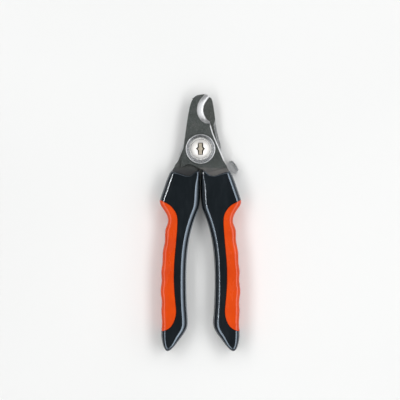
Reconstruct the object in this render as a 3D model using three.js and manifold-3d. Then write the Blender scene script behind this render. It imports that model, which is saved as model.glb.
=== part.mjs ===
// Plier-type pet nail trimmer, closed, lying flat. Millimetres.
// +Y runs to the blade tips, +X to the right handle, +Z up. "Front" is the +Z side, "rear" the
// side it rests on. The origin is on the pivot axis, in the plane the tool rests on.
import * as THREE from 'three';
import { mergeVertices } from 'three/addons/utils/BufferGeometryUtils.js';
import Module from 'manifold-3d';

const wasm = await Module();
wasm.setup();

// ---------- shared dimensions ----------
const HANDLE_T = 16;            // handle thickness
const PART_Z = HANDLE_T / 2;    // parting plane between the two shells of a handle
const BLADE_REACH = 3;          // outer face of each blade from the parting plane
const BLADE_CLEAR = 0.05;       // inner face of each blade from the parting plane
const REAR_Z = { bottom: PART_Z - BLADE_REACH, top: PART_Z - BLADE_CLEAR };
const FRONT_Z = { bottom: PART_Z + BLADE_CLEAR, top: PART_Z + BLADE_REACH };
const TANG_STEP = 0.6;          // each tang is thinner than its blade by this
const SHANK_R = 2.5;            // pivot bolt shank
const SCREW_R = 1.5;            // handle screws
const CUT = 1;                  // how far a cutting solid runs past the face it opens

// ---------- outlines, [x, y] ----------
// left handle, with its upper end uncut
const HANDLE = [
  [-17.91, -11.9], [-18.67, -13.99], [-19.62, -15.57], [-20.57, -17.6], [-21.52, -20.13], [-22.47, -22.66],
  [-23.23, -25.19], [-24.18, -27.73], [-25, -30.26], [-25.64, -32.16], [-25.7, -33.42], [-25.26, -35.45],
  [-23.86, -37.35], [-22.28, -39.5], [-21.08, -41.78], [-20.38, -43.99], [-20.38, -46.02], [-20.95, -47.85],
  [-21.78, -49.56], [-22.34, -51.46], [-22.47, -53.68], [-22.28, -56.53], [-22.47, -59.06], [-23.36, -62.41],
  [-24.05, -65.71], [-23.93, -68.87], [-23.93, -72.04], [-24.56, -75.26], [-24.88, -77.92], [-24.56, -80.58],
  [-24.37, -82.8], [-24.75, -85.64], [-25.19, -88.49], [-25.13, -91.03], [-24.69, -93.56], [-24.37, -96.09],
  [-24.5, -98.94], [-24.81, -101.79], [-24.62, -104.95], [-24.18, -108.43], [-24.37, -111.6],
  [-24.75, -115.08], [-24.81, -118.24], [-24.43, -121.41], [-23.74, -124.26], [-22.79, -126.47],
  [-21.65, -127.68], [-20.38, -127.87], [-18.99, -127.11], [-17.41, -125.84], [-15.82, -123.94],
  [-14.24, -121.73], [-12.34, -119.26], [-10.44, -116.85], [-8.99, -114.45], [-8.1, -111.6],
  [-8.04, -108.12], [-8.48, -104.32], [-8.8, -98.62], [-9.05, -91.66], [-9.18, -84.06], [-9.05, -75.83],
  [-8.67, -68.55], [-8.1, -62.73], [-7.41, -58.11], [-6.52, -53.8], [-5.51, -49.88], [-4.43, -46.08],
  [-3.23, -42.73], [-2.03, -39.75], [-1.01, -36.9], [-0.28, -34.06], [-0.22, -31.52], [-0.19, -11.9],
];
// recess cut into the upper end of the left handle
const TOP_CUT = [
  [-20.26, -13.8], [-18.36, -13.74], [-16.14, -14.05], [-12.98, -15.26], [-9.81, -16.39], [-7.47, -16.9],
  [-6.08, -16.58], [-4.75, -15.26], [-3.48, -13.93], [-2.47, -13.36], [-1.46, -13.67], [-0.7, -14.62],
  [-0.13, -16.33], [-0.13, -6.84], [-20.26, -6.84],
];
// field of the soft inlay on the left handle, open past the outer edge
const INLAY = [
  [-30.7, -31.9], [-25.76, -32.03], [-24.37, -32.47], [-22.47, -33.8], [-20.64, -34.56], [-19.18, -35.45],
  [-17.85, -36.71], [-16.58, -38.23], [-15.51, -40.01], [-14.75, -41.97], [-14.43, -44.18], [-14.43, -47.35],
  [-14.75, -52.41], [-15.19, -57.48], [-15.82, -64.44], [-16.33, -69.19], [-16.71, -76.15], [-16.77, -84.06],
  [-16.33, -90.77], [-15.7, -97.48], [-15.26, -101.15], [-15.38, -104.32], [-15.95, -106.85],
  [-16.77, -109.07], [-17.91, -111.15], [-19.31, -112.67], [-20.83, -113.69], [-22.6, -114.32],
  [-24.69, -114.7], [-30.7, -114.95],
];
// curved cutting edge of the front blade, from its root towards the tip
const CUTTING_EDGE = [
  [6.01, 17.66], [4.87, 18.1], [3.8, 19.18], [2.85, 20.83], [2.15, 22.72], [1.84, 24.81], [2.03, 26.52],
  [2.6, 28.23], [3.48, 29.81],
];
// part of the front blade that the rear blade repeats turned over: tang, flank and cutting edge
const TANG_AND_EDGE = [
  [-10.44, -10.82], [-8.86, -9.87], [-7.28, -9.5], [-6.01, -10], [-4.11, -10.82], [-2.22, -11.46],
  [-0.32, -12.47], [1.58, -13.29], [2.85, -14.12], [3.67, -15.7], [3.99, -19.5], [4.43, -28.99],
  [5.7, -39.75], [7.28, -51.15], [8.23, -57.48], [9.5, -60.32], [11.39, -61.27], [13.29, -60.01],
  [13.99, -56.21], [14.24, -47.98], [15.07, -38.49], [16.33, -28.99], [17.28, -21.4], [18.04, -16.33],
  [18.23, -14.31], [17.66, -13.04], [16.77, -11.9], [16.14, -10], [15.19, -7.47], [13.93, -4.3],
  [12.34, -0.51], [11.08, 2.66], [9.5, 6.14], [8.23, 9.31], [7.28, 12.15], [6.58, 14.69], [6.2, 16.58],
  ...CUTTING_EDGE,
];
const FRONT_BLADE = [
  [5.89, 33.36], [5.38, 33.68], [4.11, 34.31], [2.85, 34.75], [1.77, 34.63], [0.32, 34.37], [-0.76, 34.25],
  [-2.09, 34.06], [-3.35, 33.36], [-4.62, 32.09], [-5.44, 30.7], [-6.14, 29.12], [-6.65, 27.22],
  [-7.22, 24.69], [-7.72, 22.28], [-8.17, 19.75], [-8.61, 16.9], [-8.99, 14.05], [-9.37, 10.89],
  [-9.81, 7.72], [-10.19, 4.87], [-10.63, 1.9], [-11.08, -1.14], [-11.52, -3.99], [-11.9, -6.84],
  [-12.22, -10], [-12.15, -11.39], [-11.52, -11.52],
  ...TANG_AND_EDGE,
  [4.62, 31.4], [5.82, 32.79],
];
const REAR_BLADE = [
  [-5.25, 32.16], [-3.99, 32.92], [-1.84, 33.36], [2.22, 33.42], [4.75, 33.17], [6.33, 32.79], [7.09, 31.9],
  [7.6, 30.51], [8.04, 27.98], [8.55, 24.81], [8.99, 21.65], [9.37, 18.48], [9.81, 15.32], [10.25, 12.47],
  [11.01, 8.99], [11.77, 6.14], [12.53, 3.61], [13.1, 0.76], [13.36, -2.41], [13.23, -5.89], [12.72, -8.74],
  [12.22, -10.76], [11.52, -11.39],
  ...TANG_AND_EDGE.map(([x, y]) => [-x, y]),
  [-4.62, 31.27],
];
// notch of the front blade, closed on the far side
const NOTCH = [
  [7.28, 34.18], [5.82, 32.79], [4.62, 31.4],
  ...[...CUTTING_EDGE].reverse(),
  [12.34, 17.34], [12.34, 34.94],
];
// limit of the ground bevel on the outer face
const BEVEL_LIMIT = [
  [3.17, 37.47], [2.53, 34.31], [1.27, 33.04], [0, 31.46], [-1.2, 29.56], [-1.96, 27.66], [-2.28, 25.45],
  [-2.28, 23.86], [-1.96, 21.97], [-1.27, 20.26], [-0.25, 18.67], [0.95, 17.47], [2.34, 16.52], [3.8, 16.01],
  [5.38, 15.82], [8.55, 15.7], [8.55, 37.47],
];
// area of the front tang that is thinner than the blade
const TANG_FIELD = [
  [1.9, -12.91], [4.11, -12.72], [7.91, -12.41], [10.44, -11.65], [12.98, -10.76], [16.27, -9.75],
  [25, -9.75], [25, -63.81], [-3.48, -63.81], [-3.48, -13.8],
];
// safety guard: stop finger, then thumb tab and its turned-up outer edge
const GUARD_FINGER = [
  [-4.75, 5.19], [-2.53, 13.42], [-1.33, 21.65], [-0.76, 26.4], [0.06, 28.48], [1.58, 29.62], [3.48, 29.88],
  [5.25, 29.37], [6.27, 27.85], [6.71, 24.81], [7.09, 19.75], [7.53, 14.69], [8.29, 9.62], [9.18, 4.56],
  [6.01, -0.51], [-1.58, -0.51],
];
const TAB_EDGE = [
  [20.19, -7.34], [21.14, -8.17], [22.16, -9.37], [23.1, -10.82], [23.86, -12.34], [24.12, -13.36],
];
const GUARD_TAB = [
  [3.48, -0.51], [7.91, -4.43], [11.71, -7.34], [14.24, -8.86], [16.14, -9.62], [17.03, -9.31],
  [17.6, -8.48], [18.23, -7.66], [19.18, -7.22], ...TAB_EDGE, [23.8, -14.37], [23.29, -15.32],
  [22.66, -15.82], [21.84, -15.57], [20.95, -14.62], [19.69, -13.8], [17.72, -13.29], [14.24, -12.41],
  [9.81, -10.38], [3.48, -7.47],
];
const GUARD_LIP = [
  [19.31, -7.22], ...TAB_EDGE, [23.17, -13.67], [22.91, -12.79], [22.22, -11.39], [21.33, -10.06],
  [20.45, -8.99], [19.69, -8.29], [19.24, -8.1],
];
// screws of the left handle
const SCREWS = { upper: [-10.44, -27.73], middle: [-10.7, -52.41], lower: [-17.09, -118.24] };

// ---------- solids and meshes ----------
const toSolid = (geometry) => {
  const bare = geometry.clone();
  bare.deleteAttribute('normal');
  bare.deleteAttribute('uv');
  const merged = mergeVertices(bare, 1e-4);
  return new wasm.Manifold(new wasm.Mesh({
    numProp: 3,
    vertProperties: Float32Array.from(merged.attributes.position.array),
    triVerts: Uint32Array.from(merged.index.array),
  }));
};
const toGeometry = (solid) => {
  const { vertProperties, triVerts } = solid.getMesh();
  const geometry = new THREE.BufferGeometry();
  geometry.setAttribute('position', new THREE.BufferAttribute(Float32Array.from(vertProperties), 3));
  geometry.setIndex(new THREE.BufferAttribute(Uint32Array.from(triVerts), 1));
  geometry.computeVertexNormals();
  return geometry;
};

const BLACK = { color: 0x1b2024, roughness: 0.32, metalness: 0.0 };
const ORANGE = { color: 0xe04800, roughness: 0.35, metalness: 0.0 };
const BLADE = { color: 0x5a605e, roughness: 0.42, metalness: 0.95 };
const NICKEL = { color: 0xd6d6d2, roughness: 0.14, metalness: 1.0 };
const ZINC = { color: 0xa9abab, roughness: 0.35, metalness: 1.0 };
const WIRE = { color: 0x6a6c6e, roughness: 0.4, metalness: 1.0 };

const group = new THREE.Group();
const add = (name, solid, look) => {
  const mesh = new THREE.Mesh(toGeometry(solid), new THREE.MeshStandardMaterial(look));
  mesh.name = name;
  group.add(mesh);
};

// ---------- shape helpers ----------
const toVectors = (outline) => outline.map(([x, y]) => new THREE.Vector2(x, y));
const mirrored = (outline) => outline.map(([x, y]) => [-x, y]).reverse();
const extruded = (outline, options, z) =>
  toSolid(new THREE.ExtrudeGeometry(new THREE.Shape(toVectors(outline)), options).translate(0, 0, z));
const slab = (outline, z0, z1) =>
  extruded(outline, { depth: z1 - z0, bevelEnabled: false, steps: 1 }, z0);
// union of one slab at several [dx, dy] shifts, to widen it by a clearance
const widenedSlab = (outline, z0, z1, shifts) => shifts
  .map(([dx, dy]) => slab(outline.map(([x, y]) => [x + dx, y + dy]), z0, z1))
  .reduce((sum, part) => sum.add(part));
const box = (x0, x1, y0, y1, z0, z1) => {
  const geometry = new THREE.BoxGeometry(x1 - x0, y1 - y0, z1 - z0);
  return toSolid(geometry.translate((x0 + x1) / 2, (y0 + y1) / 2, (z0 + z1) / 2));
};
// profile of [radius, z] turned about a vertical axis
const turned = (profile, segments, x = 0, y = 0) =>
  toSolid(new THREE.LatheGeometry(toVectors(profile), segments)
    .rotateX(Math.PI / 2).translate(x, y, 0));
const disc = (radius, z0, z1, segments = 32, x = 0, y = 0) =>
  turned([[0, z0], [radius, z0], [radius, z1], [0, z1]], segments, x, y);
const sleeve = (inner, outer, z0, z1) =>
  turned([[inner, z0], [outer, z0], [outer, z1], [inner, z1], [inner, z0]], 32);
// part of a ring between two angles in degrees
const sector = (inner, outer, fromDeg, toDeg, z0, z1) => {
  const steps = 10;
  const arc = (radius) => Array.from({ length: steps + 1 }, (_, i) => {
    const angle = THREE.MathUtils.degToRad(fromDeg + (toDeg - fromDeg) * i / steps);
    return [radius * Math.cos(angle), radius * Math.sin(angle)];
  });
  return slab([...arc(outer), ...arc(inner).reverse()], z0, z1);
};

// closed outline drawn in by a distance, in small steps, so that tight ends round off cleanly
const drawnIn = (outline, distance) => {
  const maxStep = 0.1;
  const maxMitre = 1.6;
  const smoothing = 0.05;       // share each neighbour takes in a point after a step
  let ring = toVectors(outline);
  const turn = THREE.ShapeUtils.area(ring) > 0 ? 1 : -1;
  const count = ring.length;
  const steps = Math.ceil(distance / maxStep);
  for (let s = 0; s < steps; s++) {
    const shifted = ring.map((point, i) => {
      const before = point.clone().sub(ring[(i + count - 1) % count]).normalize();
      const after = ring[(i + 1) % count].clone().sub(point).normalize();
      const inward = new THREE.Vector2(-(before.y + after.y) * turn, (before.x + after.x) * turn);
      const length = inward.length() || 1;
      const mitre = Math.min(maxMitre, 2 / Math.max(0.5, length));
      return point.clone().addScaledVector(inward, mitre * distance / steps / length);
    });
    ring = shifted.map((point, i) => point.clone().multiplyScalar(1 - 2 * smoothing)
      .addScaledVector(shifted[(i + count - 1) % count], smoothing)
      .addScaledVector(shifted[(i + 1) % count], smoothing));
  }
  return ring;
};
// solid through rings with the same number of points, each at its height
const lofted = (layers) => {
  const count = layers[0].ring.length;
  const flip = THREE.ShapeUtils.area(layers[0].ring) < 0;
  const positions = layers.flatMap(({ ring, z }) => ring.flatMap((point) => [point.x, point.y, z]));
  const index = [];
  const face = (a, b, c) => (flip ? index.push(a, c, b) : index.push(a, b, c));
  for (let layer = 0; layer + 1 < layers.length; layer++) {
    const lower = layer * count;
    const upper = lower + count;
    for (let i = 0; i < count; i++) {
      const j = (i + 1) % count;
      face(lower + i, lower + j, upper + j);
      face(lower + i, upper + j, upper + i);
    }
  }
  const cap = (ring, base, up) => {
    THREE.ShapeUtils.triangulateShape(ring, []).forEach(([a, b, c]) => {
      const area = THREE.ShapeUtils.area([ring[a], ring[b], ring[c]]);
      if ((area > 0) === up) index.push(base + a, base + b, base + c);
      else index.push(base + a, base + c, base + b);
    });
  };
  cap(layers[0].ring, 0, false);
  cap(layers.at(-1).ring, (layers.length - 1) * count, true);
  const geometry = new THREE.BufferGeometry();
  geometry.setAttribute('position', new THREE.BufferAttribute(new Float32Array(positions), 3));
  geometry.setIndex(index);
  return toSolid(geometry);
};
// slab from z = 0 whose edges round in by `inset` over `height` at both faces
const pillow = (outline, { thickness, inset, height, segments }) => {
  const lower = [];
  for (let i = 0; i <= segments; i++) {
    const angle = (i / segments) * Math.PI / 2;
    const ring = drawnIn(outline, inset * (1 - Math.sin(angle)));
    lower.push({ ring, z: height * (1 - Math.cos(angle)) });
  }
  const upper = lower.map(({ ring, z }) => ({ ring, z: thickness - z })).reverse();
  return lofted([...lower, ...upper]);
};

// ---------- return spring: coil with two straight legs leaving on the tangent ----------
const SPRING_R = 4.3;           // mean radius of the coil
const WIRE_R = 0.45;
const SPRING_TURNS = 2.25;
const SPRING_START = -150;      // where the coil starts and ends, degrees
const SPRING_END = SPRING_START + SPRING_TURNS * 360;
const SPRING_Z = { rear: 6.95, front: 9.05 };
const LEG = 5.6;                // leg length
const EASE = 0.12;              // share of the coil over which the pitch builds up at each end

class SpringCurve extends THREE.Curve {
  getPoint(t, target = new THREE.Vector3()) {
    const sweep = SPRING_TURNS * Math.PI * 2;
    const coil = SPRING_R * sweep;
    const along = t * (coil + 2 * LEG) - LEG;
    const onCoil = THREE.MathUtils.clamp(along, 0, coil);
    const beyond = along - onCoil;        // distance out along a leg, negative on the first
    const share = onCoil / coil;
    const angle = THREE.MathUtils.degToRad(SPRING_START) + share * sweep;
    let rise = share - EASE / 2;
    if (share < EASE) rise = share ** 2 / (2 * EASE);
    else if (share > 1 - EASE) rise = 1 - EASE - (1 - share) ** 2 / (2 * EASE);
    return target.set(
      SPRING_R * Math.cos(angle) - beyond * Math.sin(angle),
      SPRING_R * Math.sin(angle) + beyond * Math.cos(angle),
      SPRING_Z.rear + (SPRING_Z.front - SPRING_Z.rear) * rise / (1 - EASE),
    );
  }
}
const returnSpring = () => {
  const section = new THREE.Shape();
  section.absarc(0, 0, WIRE_R, 0, Math.PI * 2, false);
  return toSolid(new THREE.ExtrudeGeometry(section, {
    steps: 56, curveSegments: 3, bevelEnabled: false, extrudePath: new SpringCurve(),
  }));
};

// ---------- blades ----------
const BORE_R = 3.46;            // bore in both blades, round the bushing
const OPEN_DEG = 25;            // how far the handles open
const COIL_CLEAR = 0.75;        // spring pocket past the mean coil radius
const POCKET_DEPTH = 0.6;       // spring pocket past the wire centre
// slot for a spring leg: radii, and degrees past the leg on its coil and tip sides
const LEG_SLOT = { inner: 3.5, outer: 7.8, coilSide: 8, tipSide: 6, swingExtra: 2 };
const LEG_SPAN = THREE.MathUtils.radToDeg(Math.atan2(LEG, SPRING_R));
const TANG_HOLE_R = SCREW_R + 0.4;

// ground bevel of the front blade, widening from the notch to the outer face
const bevelCut = () => extruded(NOTCH, {
  depth: 2, steps: 1, bevelEnabled: true, bevelThickness: 2.72, bevelSize: 4.2, bevelSegments: 5,
}, FRONT_Z.top + 0.02).intersect(slab(BEVEL_LIMIT, FRONT_Z.bottom, FRONT_Z.top + CUT));

// pivot bore, spring pocket, leg slot and two screw holes; `side` is the tang's side in X
const withHoles = (blade, { side, holeZ, pocketZ, slotFrom, slotTo }) => {
  const holes = [SCREWS.upper, SCREWS.middle]
    .map(([x, y]) => disc(TANG_HOLE_R, ...holeZ, 20, -side * x, y));
  return [
    disc(BORE_R, ...holeZ),
    disc(SPRING_R + COIL_CLEAR, ...pocketZ),
    sector(LEG_SLOT.inner, LEG_SLOT.outer, slotFrom, slotTo, ...pocketZ),
    ...holes,
  ].reduce((rest, cutter) => rest.subtract(cutter), blade);
};
const frontBlade = (bevel) => withHoles(
  slab(FRONT_BLADE, FRONT_Z.bottom, FRONT_Z.top)
    .subtract(slab(TANG_FIELD, FRONT_Z.top - TANG_STEP, FRONT_Z.top + CUT))
    .subtract(bevel),
  {
    side: 1,
    holeZ: [PART_Z - CUT, FRONT_Z.top + CUT],
    pocketZ: [PART_Z - CUT, SPRING_Z.front + POCKET_DEPTH],
    slotFrom: SPRING_END - LEG_SLOT.coilSide,
    slotTo: SPRING_END + LEG_SPAN + LEG_SLOT.tipSide,
  },
);
// its bevel is the front one turned half round an axis along Y in the parting plane
const rearBlade = (bevel) => withHoles(
  slab(REAR_BLADE, REAR_Z.bottom, REAR_Z.top)
    .subtract(slab(mirrored(TANG_FIELD), REAR_Z.bottom - CUT, REAR_Z.bottom + TANG_STEP))
    .subtract(toSolid(toGeometry(bevel).rotateY(Math.PI).translate(0, 0, 2 * PART_Z))),
  {
    side: -1,
    holeZ: [REAR_Z.bottom - CUT, PART_Z + CUT],
    pocketZ: [SPRING_Z.rear - POCKET_DEPTH, PART_Z + CUT],
    slotFrom: SPRING_START - LEG_SPAN - LEG_SLOT.tipSide,
    slotTo: SPRING_START + LEG_SLOT.coilSide + OPEN_DEG + LEG_SLOT.swingExtra,
  },
);

// ---------- pivot stack ----------
const HEAD_R = 7.4;             // pivot bolt head
const DOME_R = 11.2;            // spherical radius of the head
const DOME_RIM = { radius: 6.3, z: 13.95 };
const RING_R = 9.35;            // ringed washer under the head
const WASHER_BORE_R = SHANK_R + 0.1;
const BUSHING = { inner: 2.55, outer: 3.40, endGap: 0.02 };
const GUARD_Z = { bottom: 3.2, top: 4.4 };
const NUT = { radius: 5.6, top: 2.5 };
const STACK_GAP = 0.06;         // between neighbours in the stack

const pivotBolt = () => {
  const domeZ = (radius) => DOME_RIM.z
    + Math.sqrt(DOME_R ** 2 - radius ** 2) - Math.sqrt(DOME_R ** 2 - DOME_RIM.radius ** 2);
  const recess = { bottom: 14.3, top: 17, square: 2.6, slotX: 1.55, slotY: 4.0 };
  const { bottom, top, square, slotX, slotY } = recess;
  // driver recess: a square set on its corner, crossed by a slot
  return turned([
    [0, 0.75], [SHANK_R - 0.3, 0.75], [SHANK_R, 1.1], [SHANK_R, 12.47],
    [HEAD_R - 0.3, 12.47], [HEAD_R, 12.75], [HEAD_R, 13.6], [HEAD_R - 0.35, 13.9],
    ...[6.2, 5, 3.6, 1.9, 0].map((radius) => [radius, domeZ(radius)]),
  ], 36)
    .subtract(slab([[-square, 0], [0, -square], [square, 0], [0, square]], bottom, top))
    .subtract(box(-slotX, slotX, -slotY, slotY, bottom, top));
};
const frontWasher = () => {
  const bottom = FRONT_Z.top + STACK_GAP;
  return turned([
    [WASHER_BORE_R, bottom], [RING_R - 0.2, bottom], [RING_R, 11.3], [RING_R, 12.1],
    [RING_R - 0.3, 12.4], [RING_R - 0.75, 12.4], [RING_R - 1.05, 12.0], [7.9, 11.9],
    [7.5, 12.4], [WASHER_BORE_R, 12.4], [WASHER_BORE_R, bottom],
  ], 36);
};
const lockNut = () => disc(NUT.radius, 0, NUT.top, 6)
  .intersect(turned([
    [0, 0], [4.95, 0], [NUT.radius, 0.5], [NUT.radius, 2.1], [5.1, NUT.top], [0, NUT.top],
  ], 32))
  .subtract(disc(SHANK_R + 0.06, 0.65, 3));

// ---------- safety guard ----------
const safetyGuard = () => disc(8.2, GUARD_Z.bottom, GUARD_Z.top, 40)
  .add(slab(GUARD_FINGER, GUARD_Z.bottom, GUARD_Z.top))
  .add(slab(GUARD_TAB, GUARD_Z.bottom, GUARD_Z.top))
  // stop bar on the rear of the finger
  .add(box(0.3, 5.6, 25.2, 26.6, 1.2, GUARD_Z.bottom + 0.4))
  .subtract(disc(2.62, 2, 5))
  .add(slab(GUARD_LIP, GUARD_Z.bottom + 0.2, 7.2));

// ---------- handles ----------
const EDGE = { inset: 2.5, height: 4.4, segments: 2 };  // rounding of the handle edges
const INLAY_T = 2.4;            // wall of the soft inlay over its core
const CORE_X = -9;              // inner side of the left core
const GAP = 0.08;               // moulding and assembly clearance
const SHELL_GAP = 0.04;         // each shell from the parting plane
const TANG_CLEAR = 0.06;        // pocket past the outer face of the tang
const SCREW_HEAD = { radius: 2.8, top: 2.55 };
const CROSS = { reach: 1.7, half: 0.3, top: 1.5 };      // driver recess of a handle screw
// outer edge of the left handle beside the core
const CORE_EDGE = HANDLE.filter(([x, y]) => x < -18.2 && y < -28 && y > -121);

// black core that the soft inlay wraps round, drawn in further by `offset`
const inlayCore = (side, offset) => {
  const wall = INLAY_T + offset;
  const left = [
    [CORE_X, CORE_EDGE[0][1]],
    ...CORE_EDGE.map(([x, y]) => [x + wall, y]),
    [CORE_X, CORE_EDGE.at(-1)[1]],
  ];
  return slab(left.map(([x, y]) => [-side * x, y]), wall, HANDLE_T - wall);
};
const handleScrew = (x, y) => turned([
  [0, 0.6], [1.9, 0.6], [SCREW_HEAD.radius, 1.3], [SCREW_HEAD.radius, SCREW_HEAD.top],
  [SCREW_R, SCREW_HEAD.top], [SCREW_R, 11.9], [0.3, 13.1], [0, 13.1],
], 14, x, y)
  .subtract(box(x - CROSS.reach, x + CROSS.reach, y - CROSS.half, y + CROSS.half, 0, CROSS.top))
  .subtract(box(x - CROSS.half, x + CROSS.half, y - CROSS.reach, y + CROSS.reach, 0, CROSS.top));

// side is -1 for the left handle, which holds the rear tang, and 1 for the right
const buildHandle = (side) => {
  const name = side < 0 ? 'left' : 'right';
  const onSide = (outline) => (side < 0 ? outline : mirrored(outline));
  const screws = Object.entries(SCREWS).map(([place, [x, y]]) => ({ place, x: -side * x, y }));
  const inlay = onSide(INLAY);
  const through = [-CUT, HANDLE_T + CUT];

  const body = pillow(onSide(HANDLE), { thickness: HANDLE_T, ...EDGE })
    .subtract(slab(onSide(TOP_CUT), ...through));
  const grip = body.intersect(slab(inlay, ...through)).subtract(inlayCore(side, 0));
  // the black moulding leaves out the inlay, and fills the core under it
  const inlayRoom = widenedSlab(inlay, ...through, [[-side * GAP, 0], [0, GAP], [0, -GAP]]);
  const shell = body.subtract(inlayRoom.subtract(inlayCore(side, GAP)));
  const shellPart = (z0, z1) => shell.intersect(box(-60, 60, -160, 20, z0, z1));
  let front = shellPart(PART_Z + SHELL_GAP, HANDLE_T + CUT);
  let rear = shellPart(-CUT, PART_Z - SHELL_GAP);

  const tangPocket = (tang, z0, z1) =>
    widenedSlab(tang, z0, z1, [[GAP, 0], [-GAP, 0], [0, -GAP]]);
  if (side > 0) {
    const top = FRONT_Z.top - TANG_STEP + TANG_CLEAR;
    front = front.subtract(tangPocket(FRONT_BLADE, PART_Z - CUT, top));
  } else {
    const bottom = REAR_Z.bottom + TANG_STEP - TANG_CLEAR;
    rear = rear.subtract(tangPocket(REAR_BLADE, bottom, PART_Z + CUT));
  }
  screws.forEach(({ x, y }) => {
    rear = rear
      .subtract(disc(SCREW_HEAD.radius + 0.25, -CUT, 2.6, 16, x, y))
      .subtract(disc(SCREW_R + 0.15, 0, PART_Z + CUT, 14, x, y));
    front = front.subtract(disc(SCREW_R + 0.06, PART_Z - CUT, 13.3, 14, x, y));
  });

  add(`${name}_front_shell`, front, BLACK);
  add(`${name}_rear_shell`, rear, BLACK);
  add(`${name}_grip`, grip, ORANGE);
  screws.forEach(({ place, x, y }) => add(`${name}_screw_${place}`, handleScrew(x, y), ZINC));
};

// ---------- assembly ----------
const bevel = bevelCut();
add('front_blade', frontBlade(bevel), BLADE);
add('rear_blade', rearBlade(bevel), BLADE);
add('pivot_bolt', pivotBolt(), NICKEL);
add('pivot_bushing', sleeve(BUSHING.inner, BUSHING.outer,
  REAR_Z.bottom + BUSHING.endGap, FRONT_Z.top - BUSHING.endGap), ZINC);
add('return_spring', returnSpring(), WIRE);
add('front_washer', frontWasher(), ZINC);
add('guard_washer', sleeve(WASHER_BORE_R, 7.6,
  GUARD_Z.top + STACK_GAP, REAR_Z.bottom - STACK_GAP), ZINC);
add('rear_washer', sleeve(WASHER_BORE_R, 7.0,
  NUT.top + STACK_GAP, GUARD_Z.bottom - STACK_GAP), ZINC);
add('lock_nut', lockNut(), ZINC);
add('safety_guard', safetyGuard(), ZINC);
buildHandle(-1);
buildHandle(1);

export default group;
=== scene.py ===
"""A two-lever hand cutter, closed, lying on its rear face with its front face up.

Frame: x runs across (left lever at -x), y along the tool (blade tips at +y, handle butts at -y),
z from the rear face (0) to the front face (16 mm). The pivot axis is the z axis.
Tables and shapes are in millimetres; meshes, shaders, lights and camera are in metres.
"""
import math
import bpy
import bmesh
import numpy as np
from mathutils import Matrix, Vector


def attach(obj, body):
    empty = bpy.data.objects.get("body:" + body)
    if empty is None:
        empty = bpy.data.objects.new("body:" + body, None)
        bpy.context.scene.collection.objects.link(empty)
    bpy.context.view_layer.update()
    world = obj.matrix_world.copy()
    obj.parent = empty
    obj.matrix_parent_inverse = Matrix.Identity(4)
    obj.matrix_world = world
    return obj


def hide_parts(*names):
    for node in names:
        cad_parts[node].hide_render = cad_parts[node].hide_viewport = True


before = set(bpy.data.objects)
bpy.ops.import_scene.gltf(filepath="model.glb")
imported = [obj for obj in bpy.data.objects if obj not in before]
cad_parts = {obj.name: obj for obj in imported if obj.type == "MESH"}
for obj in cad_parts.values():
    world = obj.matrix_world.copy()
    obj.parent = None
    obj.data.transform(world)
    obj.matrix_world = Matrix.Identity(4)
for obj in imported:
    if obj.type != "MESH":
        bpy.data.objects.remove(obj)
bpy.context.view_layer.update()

MM = 0.001
THICK = 16.0                        # rear face to front face of the handles
PARTING = THICK / 2                 # plane where the handle halves meet
LEVERS = ((-1, "left"), (1, "right"))


# ------------------------------------------------------------------ outlines (x, y)
def flipped(points):
    """The same points in the same order, on the other side of the y axis."""
    return [(-x, y) for x, y in points]


# left handle: down the outer edge, round the butt, up the inner edge, back along the top recess
HANDLE = [
    (-18.67, -13.99), (-19.62, -15.57), (-20.57, -17.6), (-21.52, -20.13), (-22.47, -22.66),
    (-23.23, -25.19), (-24.18, -27.73), (-25, -30.26), (-25.64, -32.16), (-25.7, -33.42),
    (-25.26, -35.45), (-23.86, -37.35), (-22.28, -39.5), (-21.08, -41.78), (-20.38, -43.99),
    (-20.38, -46.02), (-20.95, -47.85), (-21.78, -49.56), (-22.34, -51.46), (-22.47, -53.68),
    (-22.28, -56.53), (-22.47, -59.06), (-23.36, -62.41), (-24.05, -65.71), (-23.93, -68.87),
    (-23.93, -72.04), (-24.56, -75.26), (-24.88, -77.92), (-24.56, -80.58), (-24.37, -82.8),
    (-24.75, -85.64), (-25.19, -88.49), (-25.13, -91.03), (-24.69, -93.56), (-24.37, -96.09),
    (-24.5, -98.94), (-24.81, -101.79), (-24.62, -104.95), (-24.18, -108.43), (-24.37, -111.6),
    (-24.75, -115.08), (-24.81, -118.24), (-24.43, -121.41), (-23.74, -124.26), (-22.79, -126.47),
    (-21.65, -127.68), (-20.38, -127.87), (-18.99, -127.11), (-17.41, -125.84), (-15.82, -123.94),
    (-14.24, -121.73), (-12.34, -119.26), (-10.44, -116.85), (-8.99, -114.45), (-8.1, -111.6),
    (-8.04, -108.12), (-8.48, -104.32), (-8.8, -98.62), (-9.05, -91.66), (-9.18, -84.06),
    (-9.05, -75.83), (-8.67, -68.55), (-8.1, -62.73), (-7.41, -58.11), (-6.52, -53.8),
    (-5.51, -49.88), (-4.43, -46.08), (-3.23, -42.73), (-2.03, -39.75), (-1.01, -36.9),
    (-0.28, -34.06), (-0.19, -17.6), (-0.7, -14.62), (-1.46, -13.67), (-2.47, -13.36),
    (-3.48, -13.93), (-4.75, -15.26), (-6.08, -16.58), (-7.47, -16.9), (-9.81, -16.39),
    (-12.98, -15.26), (-16.14, -14.05), (-18.36, -13.74),
]
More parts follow.
